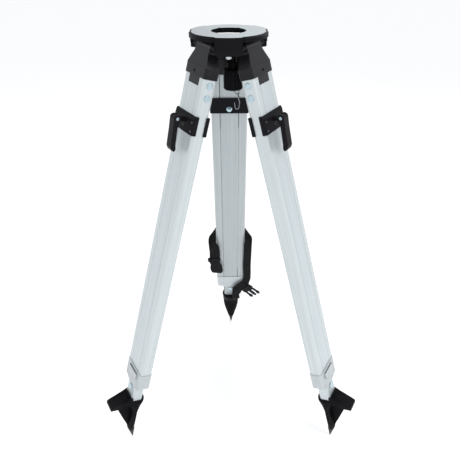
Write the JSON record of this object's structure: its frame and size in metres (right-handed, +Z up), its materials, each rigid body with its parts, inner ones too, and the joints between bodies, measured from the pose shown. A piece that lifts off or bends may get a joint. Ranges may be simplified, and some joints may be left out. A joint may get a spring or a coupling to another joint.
{
  "type": "surveyor tripod",
  "caption": "Flat-head surveyor tripod: round head with a captive instrument screw on hinged, spread legs with sliding lower sections, cam clamps and pedal feet.",
  "frame": {"origin": "centre of the head's machined top face, where an instrument stands", "axes": "+Z up out of the head; +Y towards the rear leg; +X to the right seen from the front, between the two front legs"},
  "size_m": [0.6708, 0.5809, 1.0661],
  "materials": {
    "head_paint": "satin black paint, top face machined bright",
    "lug_paint": "satin black paint",
    "zinc": "zinc plated",
    "steel": "bright steel",
    "arm_steel": "black zinc",
    "screw_steel": "turned, black oxide",
    "knob_plastic": "fine moulded grain",
    "cap_plastic": "moulded, slight sheen",
    "rail_aluminium": "clear anodised extrusion",
    "panel_aluminium": "clear anodised extrusion",
    "collar_aluminium": "fine bead-blasted casting",
    "clamp_plastic": "moulded",
    "lever_plastic": "moulded, slight sheen",
    "boot_black": "black powder coat",
    "spike_steel": "dark hardened steel",
    "webbing": "woven nylon",
    "buckle_plastic": "acetal"
  },
  "bodies": {
    "head": {"head_plate": "head_paint", "lug_caps": "lug_paint", "lug_cap_screws": "zinc", "hinge_pins": "steel"},
    "arm": {"swing_arm": "arm_steel"},
    "bushing": {"screw_bushing": "screw_steel"},
    "washer": {"thrust_washer": "steel"},
    "screw": {"instrument_screw": "screw_steel", "screw_knob": "knob_plastic", "knob_bail": "steel"},
    "hook": {"plumb_hook": "zinc"},
    "rear_upper": {"rear_cap": "cap_plastic", "rear_rail_a": "rail_aluminium", "rear_rail_b": "rail_aluminium", "rear_cap_bolts": "zinc", "rear_collar": "collar_aluminium", "strap_webbing_left": "webbing", "strap_webbing_right": "webbing", "strap_buckle_socket": "buckle_plastic", "strap_buckle_plug": "buckle_plastic", "strap_anchors": "clamp_plastic"},
    "rear_lower": {"rear_panel": "panel_aluminium", "rear_clamp_front": "clamp_plastic", "rear_clamp_back": "clamp_plastic", "rear_panel_bolts": "zinc", "rear_plate_screws": "zinc", "rear_lever_pin": "zinc", "rear_boot": "boot_black", "rear_spike": "spike_steel"},
    "rear_lever": {"rear_lever": "lever_plastic"},
    "left_upper": {"left_cap": "cap_plastic", "left_rail_a": "rail_aluminium", "left_rail_b": "rail_aluminium", "left_cap_bolts": "zinc", "left_collar": "collar_aluminium"},
    "left_lower": {"left_panel": "panel_aluminium", "left_clamp_front": "clamp_plastic", "left_clamp_back": "clamp_plastic", "left_panel_bolts": "zinc", "left_plate_screws": "zinc", "left_lever_pin": "zinc", "left_boot": "boot_black", "left_spike": "spike_steel"},
    "left_lever": {"left_lever": "lever_plastic"},
    "right_upper": {"right_cap": "cap_plastic", "right_rail_a": "rail_aluminium", "right_rail_b": "rail_aluminium", "right_cap_bolts": "zinc", "right_collar": "collar_aluminium"},
    "right_lower": {"right_panel": "panel_aluminium", "right_clamp_front": "clamp_plastic", "right_clamp_back": "clamp_plastic", "right_panel_bolts": "zinc", "right_plate_screws": "zinc", "right_lever_pin": "zinc", "right_boot": "boot_black", "right_spike": "spike_steel"},
    "right_lever": {"right_lever": "lever_plastic"}
  },
  "joints": [
    {"name": "arm_swing", "type": "hinge", "parent": "head", "child": "arm", "pos_m": [0, -0.05, -0.04], "axis": [0, 0, -1], "range_deg": [-27.5, 8.2]},
    {"name": "screw_shift", "type": "slide", "parent": "arm", "child": "bushing", "axis": [-0.1772, -0.9842, 0], "range_m": [-0.0135, 0.014]},
    {"name": "screw_lift", "type": "slide", "parent": "bushing", "child": "washer", "axis": [0, 0, 1], "range_m": [0, 0.016]},
    {"name": "screw_spin", "type": "hinge", "parent": "washer", "child": "screw", "pos_m": [0.009, 0, -0.06], "axis": [0, 0, 1], "continuous": true},
    {"name": "hook_swing", "type": "hinge", "parent": "screw", "child": "hook", "pos_m": [0.019, 0, -0.1316], "axis": [-1, 0, 0], "range_deg": [-30, 30]},
    {"name": "rear_leg_fold", "type": "hinge", "parent": "head", "child": "rear_upper", "pos_m": [0, 0.05, -0.024], "axis": [1, 0, 0], "range_deg": [-16.04, 14]},
    {"name": "rear_leg_extend", "type": "slide", "parent": "rear_upper", "child": "rear_lower", "axis": [0, 0.2763, -0.9611], "range_m": [0, 0.6]},
    {"name": "rear_lever_open", "type": "hinge", "parent": "rear_lower", "child": "rear_lever", "pos_m": [0, 0.13093, -0.16253], "axis": [1, 0, 0], "range_deg": [0, 90]},
    {"name": "left_leg_fold", "type": "hinge", "parent": "head", "child": "left_upper", "pos_m": [-0.0433, -0.025, -0.024], "axis": [-0.5, 0.866, 0], "range_deg": [-16.04, 14]},
    {"name": "left_leg_extend", "type": "slide", "parent": "left_upper", "child": "left_lower", "axis": [-0.2393, -0.1382, -0.9611], "range_m": [0, 0.6]},
    {"name": "left_lever_open", "type": "hinge", "parent": "left_lower", "child": "left_lever", "pos_m": [-0.11339, -0.06546, -0.16253], "axis": [-0.5, 0.866, 0], "range_deg": [0, 90]},
    {"name": "right_leg_fold", "type": "hinge", "parent": "head", "child": "right_upper", "pos_m": [0.0433, -0.025, -0.024], "axis": [-0.5, -0.866, 0], "range_deg": [-16.04, 14]},
    {"name": "right_leg_extend", "type": "slide", "parent": "right_upper", "child": "right_lower", "axis": [0.2393, -0.1382, -0.9611], "range_m": [0, 0.6]},
    {"name": "right_lever_open", "type": "hinge", "parent": "right_lower", "child": "right_lever", "pos_m": [0.11339, -0.06546, -0.16253], "axis": [-0.5, -0.866, 0], "range_deg": [0, 90]}
  ]
}
